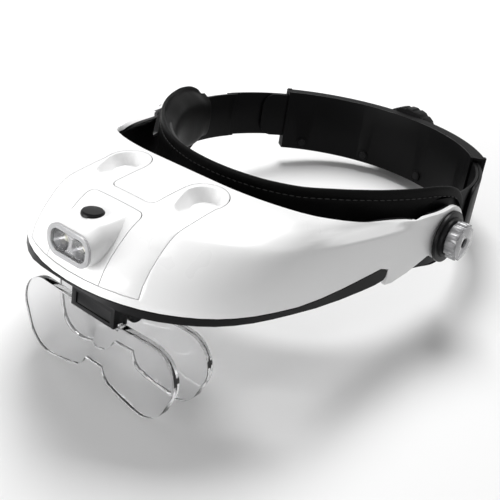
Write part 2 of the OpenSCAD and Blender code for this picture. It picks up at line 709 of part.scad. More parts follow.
case_screw_r = 1.2;
journal_y = loop_y + case_inner_r + 0.6;
module housing_inner_cover() {
    color(satin_black) place() difference() {
        union() {
            loop_ring(case_inner_r, case_inner_r + 1.1, housing_z, housing_z + housing_h,
                -housing_half_angle, housing_half_angle);
            for (a = screw_angles) round_head(a)
                y_rod(3.6, case_inner_r - 1, case_inner_r + 0.6, 0, case_screw_z);
        }
        for (a = screw_angles) round_head(a) {
            y_rod(case_screw_r + 0.2, case_inner_r - 3, case_inner_r + 3, 0, case_screw_z);
            y_rod(2.5, case_inner_r - 3, case_inner_r, 0, case_screw_z);
        }
        y_rod(journal_r + run_gap, journal_y - run_gap, loop_y + case_inner_r + 4, 0, pivot_z);
    }
}

module housing_screws() {
    color(steel) place() for (a = screw_angles) round_head(a) {
        y_rod(case_screw_r, case_inner_r - 0.9, case_inner_r + 6, 0, case_screw_z);
        difference() {
            y_rod(2.3, case_inner_r - 0.9, case_inner_r - 0.05, 0, case_screw_z);
            translate([-1.6, case_inner_r - 1.5, case_screw_z - 0.3]) cube([3.2, 1, 0.6]);
        }
    }
}

// Leaf spring that clicks in the dimples of the rear knob
detent_z = pivot_z + 14;
module detent_pocket(g) {
    translate([-9 - g, rear_face_y - 0.9 - g, detent_z - 2 - g])
        cube([18 + 2 * g, 2, 4 + 2 * g]);
}

module detent_spring() {
    color(steel) place() difference() {
        union() {
            translate([-9, rear_face_y - 0.7, detent_z - 2]) cube([18, 0.4, 4]);
            y_rod(1.2, rear_face_y - 0.5, rear_face_y + 0.15, 0, detent_z);
        }
        for (s = [-1, 1]) y_rod(0.6, rear_face_y - 2, rear_face_y, s * 7.4, detent_z);
    }
}

// Rear knob and pinion
shaft_r = 3;
journal_r = 2.2;
pinion_tip_r = 4.7;
root_r = 3.4;
module rear_knob() {
    grip_r = rear_knob_d / 2;
    color(satin_black) place() difference() {
        translate([0, knob_front_y, pivot_z]) rotate([-90, 0, 0]) rotate_extrude()
            polygon([[shaft_r + 0.03, 0], [grip_r - 1, 0], [grip_r, 1],
                [grip_r, rear_knob_t - knob_chamfer], [grip_r - knob_chamfer, rear_knob_t],
                [11, rear_knob_t], [9.5, rear_knob_t - 1.2],
                [4.4, rear_knob_t - 1.2], [4.4, rear_knob_t - 3.6], [1.6, rear_knob_t - 3.6],
                [1.6, rear_knob_t - 5], [shaft_r + 0.03, rear_knob_t - 5]]);
        for (i = [0:rear_knob_grips - 1]) let (a = 360 * (i + 0.5) / rear_knob_grips) {
            y_rod(1.5, knob_front_y - cut, knob_back_y + cut, (grip_r + 0.5) * sin(a),
                pivot_z + (grip_r + 0.5) * cos(a));
            y_rod(1.6, knob_front_y - cut, knob_front_y + 0.5, 14 * sin(a + 9),
                pivot_z + 14 * cos(a + 9));
        }
    }
}

module pinion() {
    end_y = knob_front_y + rear_knob_t - 5.1;
    color(brass) place() union() {
        translate([0, 0, pivot_z]) rotate([-90, 0, 0]) rotate_extrude() polygon([[0, journal_y],
            [journal_r, journal_y], [journal_r, pinion_y], [root_r, pinion_y],
            [root_r, pinion_y + pinion_w], [shaft_r, pinion_y + pinion_w], [shaft_r, end_y],
            [1.25, end_y], [1.25, knob_front_y + 1], [0, knob_front_y + 1]]);
        for (i = [0:pinion_teeth - 1]) translate([0, pinion_y + 0.1, pivot_z])
            rotate([-90, 0, 0]) rotate([0, 0, i * 360 / pinion_teeth])
                linear_extrude(pinion_w - 0.2) polygon([[root_r - 0.25, -0.9],
                    [pinion_tip_r, -0.5], [pinion_tip_r, 0.5], [root_r - 0.25, 0.9]]);
    }
}

pinion_y = loop_y + loop_r - 0.15;
pinion_w = 3.9;
module rear_knob_screw() {
    color(steel) place() {
        y_rod(1.2, knob_front_y + 1.5, knob_back_y - 3, 0, pivot_z);
        difference() {
            y_rod(3.4, knob_back_y - 3.55, knob_back_y - 1.6, 0, pivot_z);
            translate([-3, knob_back_y - 2.2, pivot_z - 0.4]) cube([6, 2, 0.8]);
            translate([-0.4, knob_back_y - 2.2, pivot_z - 3]) cube([0.8, 2, 6]);
        }
    }
}

// Floor of the visor, with the yoke that the lens carrier tilts in
cover_screw_r = 1.4;
tilt_y = 11;
tilt_z = lens_h + 2.9;
pin_r = 1.5;
floor_end_y = 46;
visor_edge = [for (row = visor_rows) if (row[0][1] < 60) [row[0][0], row[0][1]]];
module bottom_cover() {
    color(black_plastic) place() difference() {
        union() {
            translate([0, 0, floor_z]) linear_extrude(floor_t) intersection() {
                offset(delta = -frame_depth - 1.2) polygon(visor_edge);
                translate([-100, floor_end_y - 100]) square([200, 100]);
            }
            translate([-45, floor_end_y - 1.6, floor_z]) cube([90, 1.6, 11]);
            both_sides() {
                x_rod(6, 11.4, 14.6, tilt_y, tilt_z);
                translate([11.4, tilt_y - 4.5, tilt_z]) cube([3.2, 9, floor_z - tilt_z + 0.5]);
            }
        }
        both_sides() for (p = post_places) translate([p[0], p[1], floor_z - cut])
            cylinder(r = cover_screw_r + 0.2, h = floor_t + 2 * cut);
        x_rod(pin_r + 0.05, -20, 20, tilt_y, tilt_z);
    }
}

module bottom_cover_screws() {
    color(steel) place() both_sides() for (p = post_places) translate([p[0], p[1], 0]) {
        translate([0, 0, floor_z - 1]) cylinder(r = cover_screw_r, h = 10);
        difference() {
            translate([0, 0, floor_z - 1.4]) cylinder(r = 2.8, h = 1.35);
            translate([-2, -0.3, floor_z - 2]) cube([4, 0.6, 1]);
            translate([-0.3, -2, floor_z - 2]) cube([0.6, 4, 1]);
        }
    }
}

// Battery tray, cells and contacts
tray_z = floor_z + floor_t + 0.1;
tray_y = 7.5;
cell_pitch = cell_d + 0.7;
tray_depth = cells * cell_pitch + 1.7;
cell_z = tray_z + cell_d / 2 + 1.9;
cell_places = [for (i = [0:cells - 1]) tray_y + cell_d / 2 + 1.3 + i * cell_pitch];
tray_x = cell_l / 2 + 4.4;
module battery_tray() {
    color(black_plastic) place() difference() {
        union() {
            translate([-tray_x, tray_y, tray_z]) cube([2 * tray_x, tray_depth, 5.5]);
            for (s = [-1, 1]) translate([s * (tray_x - 0.75) - 0.75, tray_y, tray_z])
                cube([1.5, tray_depth, 12]);
        }
        for (y = cell_places)
            x_rod(cell_d / 2 + 0.15, -tray_x + 1.5, tray_x - 1.5, y, cell_z);
    }
}

module battery_cells() {
    color(steel) place() for (i = [0:cells - 1]) let (s = i % 2 == 0 ? 1 : -1) {
        x_rod(cell_d / 2, -cell_l / 2, cell_l / 2, cell_places[i], cell_z);
        x_rod(2.6, (s > 0 ? cell_l / 2 : -cell_l / 2) - 1, (s > 0 ? cell_l / 2 : -cell_l / 2) + 1,
            cell_places[i], cell_z);
    }
}

module battery_contacts() {
    color(steel) place() for (i = [0:cells - 1]) let (s = i % 2 == 0 ? 1 : -1)
        translate([s * (tray_x - 1.8) - 0.2, cell_places[i] - 3.5, cell_z - 3.5]) cube([0.4, 7, 7]);
}

module battery_springs() {
    color(steel) place() for (i = [0:cells - 1]) let (s = i % 2 == 0 ? -1 : 1)
        translate([s * (tray_x - 1.7), cell_places[i], cell_z - 2]) linear_extrude(4)
            polygon([[0.15, -3.5], [0.15, 3.5], [-0.15, 3.5], [-2.3, 0.6], [-2.3, -0.6],
                [-2, -0.6], [-2, 0.5], [-0.15, 2.8], [-0.15, -3.5]] * s);
}

// Light unit: cover with finger scoops, lamp housing and what is in it
scoop_x = 25.6;
module scoop(g, top) {
    translate([scoop_x + 0.7, 34, visor_z + 39.9]) rotate([10, 0, 0]) hull() {
        translate([0, 0.5, -scoop_depth + 1.1 - g])
            cylinder(r1 = 6.6 + g, r2 = 9.2 + g + top * 0.42, h = scoop_depth - 1.1 + g + top);
        translate([0, -10.5, -1.4 - g]) cylinder(r1 = 4.4 + g, r2 = 5.6 + g + top * 0.42,
            h = 1.4 + g + top);
    }
}

ear_hole = [22, 8];
lamp_z = visor_z + 21;
module light_cover() {
    color(white_plastic) place() difference() {
        union() {
            intersection() {
                visor_wall(0, shell_t);
                translate([0, 0, cover_z + seam / 2]) linear_extrude(60)
                    cover_outline(-seam / 2);
            }
            both_sides() {
                scoop(1.1, 0);
                translate([ear_hole[0], ear_hole[1], lamp_z + 4.6]) cylinder(r = 2.8, h = 9.2);
            }
        }
        both_sides() {
            scoop(0, 5);
            translate([ear_hole[0], ear_hole[1], lamp_z + 4.5])
                cylinder(r = lamp_screw_r + tight_gap, h = 7);
        }
        translate([0, 0, cover_z - 5]) linear_extrude(60) lamp_outline(seam / 2);
    }
}

module slab(w, h, r, y, z) {
    translate([0, y, z]) rotate([90, 0, 0]) linear_extrude(cut) hull()
        for (sx = [-1, 1]) for (sz = [-1, 1])
            translate([sx * (w / 2 - r), sz * (h / 2 - r)]) circle(r, $fn = 32);
}

lamp_screw_r = 1.1;
button_y = -8.3;
module lamp_housing() {
    color(white_plastic) place() difference() {
        union() {
            intersection() {
                visor_wall(0, shell_t);
                translate([0, 0, cover_z + seam / 2]) linear_extrude(60) lamp_outline(-seam / 2);
            }
            hull() {
                slab(bezel_w - 0.5, bezel_h - 0.5, 6.8, -18.9, lamp_z);
                slab(29.2, 19, 8.5, -12, lamp_z + 2.5);
                slab(31.4, 20, 9, 5, lamp_z + 3.9);
            }
            both_sides() translate([14.6, 1.5, lamp_z + 2.9]) cube([11, 9.5, 1.6]);
        }
        hull() {
            slab(bezel_w - 3.4, bezel_h - 3.4, 5, -19.5, lamp_z);
            slab(26.2, 16.2, 7, -12, lamp_z + 2.5);
            slab(28.4, 17, 7, 6, lamp_z + 3.9);
        }
        translate([0, button_y, lamp_z + 8.5]) cylinder(r = button_d / 2 + run_gap, h = 8);
        both_sides() translate([ear_hole[0], ear_hole[1], lamp_z + 0.5])
            cylinder(r = lamp_screw_r + 0.2, h = 8);
    }
}

module lamp_screws() {
    color(steel) place() both_sides() translate([ear_hole[0], ear_hole[1], 0]) {
        translate([0, 0, lamp_z + 1.5]) cylinder(r = lamp_screw_r, h = 9);
        translate([0, 0, lamp_z + 1.7]) cylinder(r = 2.3, h = 1.1);
    }
}

module flat_ring(w, h, r, y0, y1) {
    translate([0, y1, lamp_z]) rotate([90, 0, 0]) linear_extrude(y1 - y0) hull()
        for (sx = [-1, 1]) for (sz = [-1, 1])
            translate([sx * (w / 2 - r), sz * (h / 2 - r)]) circle(r);
}

module lamp_bezel() {
    color(clear) place() difference() {
        flat_ring(bezel_w, bezel_h, 7, -21.6, -20);
        flat_ring(bezel_w - 3.6, bezel_h - 3.6, 5.2, -21.2, -19);
        flat_ring(bezel_w - 4.8, bezel_h - 4.8, 4.6, -22.6, -19);
    }
}

module lamp_window() {
    color(clear) place() flat_ring(bezel_w - 3.8, bezel_h - 3.8, 5.1, -21.1, -20.1);
}

module reflector() {
    color(steel) place() difference() {
        flat_ring(bezel_w - 4, bezel_h - 4.6, 4.7, -19.9, -12.4);
        for (s = [-1, 1]) {
            translate([s * led_pitch / 2, -20, lamp_z]) rotate([-90, 0, 0])
                cylinder(r1 = 5.2, r2 = 2.2, h = 6.6);
            y_rod(2.2, -14, -11, s * led_pitch / 2, lamp_z);
        }
    }
}

module leds() {
    color([0.95, 0.9, 0.6]) place() for (s = [-1, 1]) {
        y_rod(2, -14.5, -12.2, s * led_pitch / 2, lamp_z);
        translate([s * led_pitch / 2, -14.4, lamp_z]) sphere(1.9);
    }
}

board_z = lamp_z + 2.9;
led_board_h = 7.2;
module led_board() {
    color(board_green) place() translate([-9.7, -12.15, board_z - 0.1 - led_board_h])
        cube([19.4, 1.4, led_board_h]);
}

module switch_board() {
    color(board_green) place() translate([-9, -12, board_z]) cube([18, 15, 1.4]);
}

module push_switch() {
    color(satin_black) place() translate([0, button_y, board_z + 1.45]) {
        translate([-3, -3, 0]) cube([6, 6, 1.5]);
        cylinder(r = 1.6, h = 2);
    }
}

button_top = lamp_z + 13.8;
module push_button() {
    color(black_plastic) place() translate([0, button_y, 0]) {
        translate([0, 0, button_top - 6.4]) cylinder(r = button_d / 2, h = 5.6);
        translate([0, 0, button_top - 0.81]) cylinder(r1 = button_d / 2, r2 = button_d / 2 - 0.6,
            h = 0.8);
        translate([0, 0, button_top - 6.4]) cylinder(r = button_d / 2 + 0.9, h = 1);
    }
}

// Lens carrier and lens plates
slot_top = lens_h + tab_h + 0.15;
clip_z = lens_h - 1.6;
clip_half_w = tab_w / 2 + 1.5;
module clip_slot(y) {
    g = 0.15;
    translate([-clip_half_w - cut, y - lens_t / 2 - g, clip_z - cut])
        cube([2 * (clip_half_w + cut), lens_t + 2 * g, cut + 2]);
    translate([-tab_w / 2 - g, y - lens_t / 2 - g, clip_z - cut])
        cube([tab_w + 2 * g, lens_t + 2 * g, slot_top - clip_z + cut]);
    translate([-5.2, y + lens_t / 2, clip_z + 2.5]) cube([10.4, 1, 5]);
}

module lens_carrier() {
    color(black_plastic) place() difference() {
        union() {
            for (y = [-4.5, lens_pitch - 4])
                translate([-clip_half_w, y, clip_z]) cube([2 * clip_half_w, 8.5, tab_h + 4.1]);
            translate([-11, 3, clip_z + 2]) cube([22, lens_pitch - 6, 7]);
            x_rod(5.5, -11, 11, tilt_y, tilt_z);
        }
        for (y = [0, lens_pitch]) clip_slot(y);
        translate([-clip_half_w + 3.2, -4.5 - cut, clip_z + 2])
            cube([2 * clip_half_w - 6, cut + 0.9, 6]);
        x_rod(pin_r + run_gap, -20, 20, tilt_y, tilt_z);
    }
}

module carrier_pin() {
    color(steel) place() {
        x_rod(pin_r, -14.9, 15.2, tilt_y, tilt_z);
        for (s = [-1, 1]) x_rod(2.4, s * 15.2 - 0.5, s * 15.2 + 0.5, tilt_y, tilt_z);
    }
}

module lens_spring_clips() {
    color(steel) place() for (y = [0, lens_pitch])
        translate([-4.8, y + lens_t / 2 + 0.25, clip_z + 2.7]) cube([9.6, 0.4, 4.6]);
}

module lens_outline() {
    difference() {
        union() {
            hull() for (s = [-1, 1]) translate([s * 16, 25]) circle(lens_h - 25 - 1);
            for (s = [-1, 1]) hull() {
                translate([s * (lens_half_w - 20.5), 17]) circle(17);
                translate([s * (lens_half_w - 15), lens_h - 15]) circle(15);
                translate([s * 16, lens_h - 15]) circle(14.5);
                translate([s * 17, 15]) circle(12);
            }
            translate([-tab_w / 2, lens_h - 9.6]) square([tab_w, tab_h + 9.6]);
        }
        polygon([[-22, -5], [-19.5, 1.6], [-13.5, 4], [0, 5.4], [13.5, 4], [19.5, 1.6], [22, -5]]);
    }
}

// Each plate is a pair of wide shallow lenses that meet in the middle under the tab
function lens_half_t(r) = lens_t / 2 + lens_crown - lens_ball_r
    + sqrt(lens_ball_r * lens_ball_r - r * r);
module wide_lens() {
    ring_r = [4, 8, 12, 15.5, 19, 22, 25, 27.5, lens_rim_r];
    last = len(ring_r) - 1;
    crown_t = lens_half_t(ring_r[0]);
    rotate_extrude() polygon(concat(
        [[0, -crown_t]], [for (i = [0:last]) [ring_r[i], -lens_half_t(ring_r[i])]],
        [for (i = [last:-1:0]) [ring_r[i], lens_half_t(ring_r[i])]], [[0, crown_t]]));
}

module lens_plate(y) {
    color(clear) place() translate([0, y, 0]) rotate([90, 0, 0]) difference() {
        intersection() {
            linear_extrude(2 * lens_t, center = true) lens_outline();
            union() {
                translate([-lens_half_w - cut, -cut, -lens_t / 2])
                    cube([2 * (lens_half_w + cut), slot_top + 2 * cut, lens_t]);
                for (s = [-1, 1]) translate([s * lens_x, lens_h / 2, 0]) wide_lens();
            }
        }
        // Flat where the clip holds it
        for (z = [-lens_t, lens_t / 2]) translate([-clip_half_w - 0.7, clip_z - 1.4, z])
            cube([2 * clip_half_w + 1.4, 20, lens_t / 2]);
    }
}

module front_lens() {
    lens_plate(0);
}

module rear_lens() {
    lens_plate(lens_pitch);
}

headband_strip();
band_leather();
forehead_cushion();
left_rack_arm();
right_rack_arm();
arm_rivets();
housing_inner_cover();
housing_outer_cover();
housing_screws();
detent_spring();
rear_knob();
pinion();
rear_knob_screw();
left_pivot_bolt();
right_pivot_bolt();
left_friction_disc();
right_friction_disc();
visor_shell();
visor_frame();
left_washer();
right_washer();
left_side_knob();
right_side_knob();
left_knob_nut();
right_knob_nut();
bottom_cover();
bottom_cover_screws();
battery_tray();
battery_cells();
battery_contacts();
battery_springs();
light_cover();
lamp_housing();
lamp_screws();
lamp_bezel();
lamp_window();
reflector();
leds();
led_board();
switch_board();
push_switch();
push_button();
lens_carrier();
carrier_pin();
lens_spring_clips();
front_lens();
rear_lens();
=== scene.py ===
"""Lighted headband magnifier: looks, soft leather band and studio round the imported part."""

import json
import math

import bpy
from mathutils import Matrix, Vector


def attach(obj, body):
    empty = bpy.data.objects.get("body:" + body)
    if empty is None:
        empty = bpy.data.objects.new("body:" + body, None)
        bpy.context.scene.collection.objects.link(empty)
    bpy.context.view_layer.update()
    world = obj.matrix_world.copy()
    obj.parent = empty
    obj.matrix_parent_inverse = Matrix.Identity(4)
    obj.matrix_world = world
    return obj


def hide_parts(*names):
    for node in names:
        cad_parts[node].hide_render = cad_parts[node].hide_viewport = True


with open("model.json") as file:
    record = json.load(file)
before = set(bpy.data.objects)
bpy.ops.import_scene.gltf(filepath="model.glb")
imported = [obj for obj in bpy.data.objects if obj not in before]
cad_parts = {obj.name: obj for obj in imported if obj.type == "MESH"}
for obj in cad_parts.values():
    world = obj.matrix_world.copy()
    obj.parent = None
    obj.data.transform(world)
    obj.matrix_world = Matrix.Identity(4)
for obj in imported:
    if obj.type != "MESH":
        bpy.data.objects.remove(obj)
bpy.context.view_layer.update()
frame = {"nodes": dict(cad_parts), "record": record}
nodes = frame["nodes"]

# ---------------------------------------------------------------- worn frame
# The object is drawn as it is worn, in millimetres: x to the wearer's left, y backwards,
# z up from the bottom of the lens plates. It rests pitched forwards on the table.
MM = 0.001
KNOB_RIM = Vector((0.0, 267.5, 59.5))
LENS_FOOT = Vector((0.0, 24.108, 0.0))
PITCH = math.atan2(KNOB_RIM.z - LENS_FOOT.z, KNOB_RIM.y - LENS_FOOT.y)
VISOR_LIP = Vector((0.0, -21.28, 61.5))
KNOB_TOP = Vector((0.0, 269.5, 101.5))
LIE_DOWN = Matrix.Rotation(-PITCH, 4, "X")
CENTRE_Y = ((LIE_DOWN @ VISOR_LIP).y + (LIE_DOWN @ KNOB_TOP).y) / 2
LIFT_Z = -(LIE_DOWN @ LENS_FOOT).z
TO_TABLE = Matrix.Scale(MM, 4) @ Matrix.Translation((0, -CENTRE_Y, LIFT_Z)) @ LIE_DOWN


def on_table(x, y, z):
    """A worn place in mm, as a place in the scene in metres."""
    return TO_TABLE @ Vector((x, y, z))


def leaning(x, y, z):
    """A worn direction, as a direction in the scene."""
    return (LIE_DOWN.to_3x3() @ Vector((x, y, z))).normalized()


# ---------------------------------------------------------------- finishes
class Value:
    """A socket that adds Math nodes when it is used in a Python expression."""

    def __init__(self, finish, socket):
        self.finish = finish
        self.socket = socket

    def _math(self, operation, *others):
        node = self.finish.node("ShaderNodeMath", {"operation": operation},
                                dict(enumerate(others)))
        return Value(self.finish, node.outputs[0])

    def __add__(self, other):
        return self._math("ADD", self, other)

    def __radd__(self, other):
        return self._math("ADD", other, self)

    def __mul__(self, other):
        return self._math("MULTIPLY", self, other)

    def __rmul__(self, other):
        return self._math("MULTIPLY", other, self)


class Finish:
    """One material on a Principled shader."""

    def __init__(self, name, color, roughness, **sockets):
        self.material = bpy.data.materials.new(name)
        self.material.use_nodes = True
        self.tree = self.material.node_tree
        self.shader = self.tree.nodes["Principled BSDF"]
        self.shader.inputs["Base Color"].default_value = (*color, 1.0)
        self.shader.inputs["Roughness"].default_value = roughness
        for socket, value in sockets.items():
            self.shader.inputs[socket.replace("_", " ")].default_value = value

    def node(self, kind, settings=None, sockets=None):
        """A node of a kind, with its settings, and values or links for its sockets."""
        node = self.tree.nodes.new(kind)
        for key, value in (settings or {}).items():
            setattr(node, key, value)
        for key, value in (sockets or {}).items():
            if isinstance(value, Value):
                value = value.socket
            if isinstance(value, bpy.types.NodeSocket):
                self.tree.links.new(value, node.inputs[key])
            else:
                node.inputs[key].default_value = value
        return node

    def place(self):
        """The point on the piece, in metres, as a socket."""
        return self.node("ShaderNodeTexCoord").outputs["Object"]

    def noise(self, scale, detail=2.0):
        node = self.node("ShaderNodeTexNoise", None,
                         {"Vector": self.place(), "Scale": scale, "Detail": detail})
        return Value(self, node.outputs["Fac"])

    def to(self, socket, value):
        """Links a value to a socket of the shader."""
        self.tree.links.new(value.socket if isinstance(value, Value) else value,
                            self.shader.inputs[socket])
        return self

    def bump(self, height, distance):
        """Relief from a height, its depth in metres."""
        node = self.node("ShaderNodeBump", None,
                         {"Height": height, "Distance": distance, "Strength": 1.0})
        return self.to("Normal", node.outputs["Normal"])

    def tint(self, mask, dark, light):
        """A colour that varies from dark to light with a mask."""
        node = self.node("ShaderNodeMix", {"data_type": "RGBA"},
                         {0: mask, 6: (*dark, 1.0), 7: (*light, 1.0)})
        return self.to("Base Color", node.outputs[2])


def moulded(name, color, roughness, grain, depth, **sockets):
    """An even colour with a fine grain, its depth in metres, and a slightly uneven gloss."""
    finish = Finish(name, color, roughness, **sockets)
    finish.to("Roughness", roughness - 0.04 + finish.noise(60.0) * 0.08)
    finish.bump(finish.noise(grain, 3.0), depth)
    return finish.material


def white_shell_plastic():
    finish = Finish("white_moulded_plastic", (0.86, 0.86, 0.86), 0.28, Coat_Weight=0.15,
                    Coat_Roughness=0.12)
    finish.to("Roughness", 0.25 + finish.noise(45.0) * 0.07)
    finish.bump(finish.noise(900.0, 2.0), 0.000004)
    return finish.material


def black_leather():
    finish = Finish("black_leather", (0.002, 0.002, 0.002), 0.5, Specular_IOR_Level=0.08)
    cells = finish.node("ShaderNodeTexVoronoi", {"feature": "DISTANCE_TO_EDGE"},
                        {"Vector": finish.place(), "Scale": 700.0})
    grain = Value(finish, cells.outputs["Distance"])
    folds = finish.noise(55.0, 4.0)
    finish.tint(folds, (0.0015, 0.0015, 0.0015), (0.003, 0.003, 0.003))
    finish.to("Roughness", 0.4 + folds * 0.18)
    finish.bump(grain * 0.5 + folds * 1.2, 0.0002)
    return finish.material


def clear_acrylic():
    finish = Finish("clear_acrylic", (0.87, 0.87, 0.875), 0.02, IOR=1.49,
                    Transmission_Weight=1.0)
    finish.to("Roughness", 0.01 + finish.noise(30.0) * 0.02)
    return finish.material


def clear_window():
    """Thin clear cover, seen through almost straight."""
    finish = Finish("clear_cover", (1.0, 1.0, 1.0), 0.03, IOR=1.2, Transmission_Weight=1.0,
                    Alpha=0.3, Coat_Weight=0.3)
    finish.to("Roughness", 0.02 + finish.noise(80.0) * 0.03)
    return finish.material


def frosted_bezel():
    finish = Finish("frosted_clear", (0.62, 0.62, 0.63), 0.22, IOR=1.45,
                    Transmission_Weight=0.5, Coat_Weight=0.4)
    finish.to("Roughness", 0.18 + finish.noise(120.0) * 0.1)
    return finish.material


def faceted_clear():
    """Clear moulded knob over a dark core."""
    finish = Finish("clear_knob", (0.42, 0.42, 0.43), 0.06, IOR=1.45,
                    Transmission_Weight=0.45, Coat_Weight=0.8)
    finish.to("Roughness", 0.04 + finish.noise(150.0) * 0.06)
    return finish.material


def spun_steel():
    finish = Finish("bright_steel", (0.62, 0.63, 0.65), 0.3, Metallic=1.0)
    finish.to("Roughness", 0.24 + finish.noise(400.0, 3.0) * 0.12)
    return finish.material


def mirror_cup():
    finish = Finish("metallised_reflector", (0.42, 0.42, 0.43), 0.08, Metallic=1.0)
    finish.to("Roughness", 0.05 + finish.noise(200.0) * 0.06)
    return finish.material


def turned_brass():
    finish = Finish("turned_brass", (0.72, 0.52, 0.22), 0.3, Metallic=1.0)
    finish.to("Roughness", 0.25 + finish.noise(500.0, 3.0) * 0.1)
    return finish.material


def circuit_board():
    finish = Finish("circuit_board", (0.03, 0.16, 0.07), 0.35)
    finish.tint(finish.noise(300.0), (0.02, 0.12, 0.05), (0.04, 0.19, 0.08))
    return finish.material


def lit_phosphor():
    finish = Finish("led_lens", (0.95, 0.92, 0.75), 0.1, Coat_Weight=0.6)
    finish.tint(finish.noise(500.0), (0.93, 0.9, 0.7), (0.97, 0.95, 0.8))
    return finish.material


def cell_jacket():
    finish = Finish("cell_jacket", (0.2, 0.21, 0.23), 0.32, Metallic=0.6)
    finish.to("Roughness", 0.28 + finish.noise(150.0) * 0.1)
    return finish.material


def dark_foam():
    finish = Finish("dark_foam", (0.03, 0.03, 0.03), 0.9)
    finish.bump(finish.noise(1500.0, 3.0), 0.0003)
    return finish.material


FINISHES = {
    "white_plastic": white_shell_plastic(),
    "black_plastic": moulded("black_moulded_plastic", (0.004, 0.004, 0.0045),
                             roughness=0.36, grain=900.0, depth=5e-6,
                             Specular_IOR_Level=0.16),
    "satin_black": moulded("satin_strap_plastic", (0.0018, 0.0018, 0.002),
                           roughness=0.44, grain=1200.0, depth=8e-6,
                           Specular_IOR_Level=0.08),
    "leather": black_leather(),
    "foam": dark_foam(),
    "steel": spun_steel(),
    "black_steel": moulded("blackened_steel", (0.004, 0.004, 0.0044),
                           roughness=0.45, grain=800.0, depth=3e-6,
                           Specular_IOR_Level=0.12),
    "brass": turned_brass(),
    "clear_acrylic": clear_acrylic(),
    "reflector": mirror_cup(),
    "led": lit_phosphor(),
    "board": circuit_board(),
    "cell": cell_jacket(),
}
NODE_SLOTS = {part["node"]: part["material_slot"] for part in frame["record"]["subparts"]}
KNOB_CLEAR = faceted_clear()
OWN_FINISH = {"lamp_window": clear_window(), "lamp_bezel": frosted_bezel(),
              "left_side_knob": KNOB_CLEAR, "right_side_knob": KNOB_CLEAR,
              "left_pivot_bolt": FINISHES["black_steel"],
              "right_pivot_bolt": FINISHES["black_steel"]}
for name, slot in NODE_SLOTS.items():
    nodes[name].data.materials.clear()
    nodes[name].data.materials.append(OWN_FINISH.get(name, FINISHES[slot]))

BODY_OF = {name: body for body, names in frame["record"]["behaviour"]["bodies"].items()
           for name in names}


# ---------------------------------------------------------------- tools
def select_only(piece):
    bpy.ops.object.select_all(action="DESELECT")
    piece.select_set(True)
    bpy.context.view_layer.objects.active = piece


def finish_with(piece, kind, **settings):
    """Adds a modifier, applies it and keeps its result in the mesh."""
    select_only(piece)
    modifier = piece.modifiers.new("finish", kind)
    for key, value in settings.items():
        setattr(modifier, key, value)
    bpy.ops.object.modifier_apply(modifier="finish")


def along(edge, y):
    """The height of an edge, given as (y, height) points, at y."""
    for (y0, z0), (y1, z1) in zip(edge, edge[1:]):
        if y <= y1:
            t = max(0.0, (y - y0) / (y1 - y0))
            return z0 + (z1 - z0) * t
    return edge[-1][1]


def blend_between(value, low, high):
    """0 under low, 1 over high and a smooth step between them."""
    t = max(0.0, min(1.0, (value - low) / (high - low)))
    return t * t * (3 - 2 * t)


# ---------------------------------------------------------------- hard pieces
WELD = 2e-6         # metres
FLAT = 0.05         # degrees between faces that are one flat face
SHARP = 35          # degrees from which an edge is eased


def edges_eased(node, smooth_angle, edge):
    """A copy of a node with its flat faces joined, its edges eased by a small bevel and
    its curved faces shaded smooth."""
    piece = nodes[node].copy()
    piece.data = nodes[node].data.copy()
    piece.name = node + "_finished"
    bpy.context.collection.objects.link(piece)
    piece.parent = None
    select_only(piece)
    bpy.ops.mesh.customdata_custom_splitnormals_clear()
    bpy.ops.object.mode_set(mode="EDIT")
    bpy.ops.mesh.select_all(action="SELECT")
    bpy.ops.mesh.remove_doubles(threshold=WELD)
    bpy.ops.mesh.dissolve_limited(angle_limit=math.radians(FLAT))
    bpy.ops.object.mode_set(mode="OBJECT")
    if edge:
        finish_with(piece, "BEVEL", width=edge * MM, segments=2, limit_method="ANGLE",
                    angle_limit=math.radians(SHARP), harden_normals=False)
    bpy.ops.object.shade_smooth_by_angle(angle=math.radians(smooth_angle))
    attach(piece, BODY_OF[node])
    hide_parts(node)
    return piece


CREASE_Z = 89.8
EDGE_Z = 96.0
EDGE_LEAN = Vector((-3.6, 5.55, -2.3))    # of the edge, its x away from the middle
LEAN_STARTS = (52, 70)
LEAN_ENDS = (104, 117)
ARM_TOP = ((117.0, 94.2), (124.0, 95.1), (134.0, 96.1), (142.0, 97.5))


def lean_edge_in(piece, below_top):
    """Beside the arms the part above the visor's crease leans inwards to its rear edge,
    and the arm's upper edge rises evenly to its round end, below_top under the line."""
    back = TO_TABLE.inverted()
    for vertex in piece.data.vertices:
        x, y, z = back @ vertex.co
        if ARM_TOP[0][0] < y < ARM_TOP[-1][0]:
            z = min(z, along(ARM_TOP, y) - below_top)
            vertex.co = on_table(x, y, z)
        beside_arm = blend_between(y, *LEAN_STARTS) * (1 - blend_between(y, *LEAN_ENDS))
        share = beside_arm * max(0.0, min(1.1, (z - CREASE_Z) / (EDGE_Z - CREASE_Z)))
        if share > 0:
            shift = EDGE_LEAN * share
            vertex.co = on_table(x + math.copysign(1.0, x) * shift.x, y + shift.y,
                                 z + shift.z)


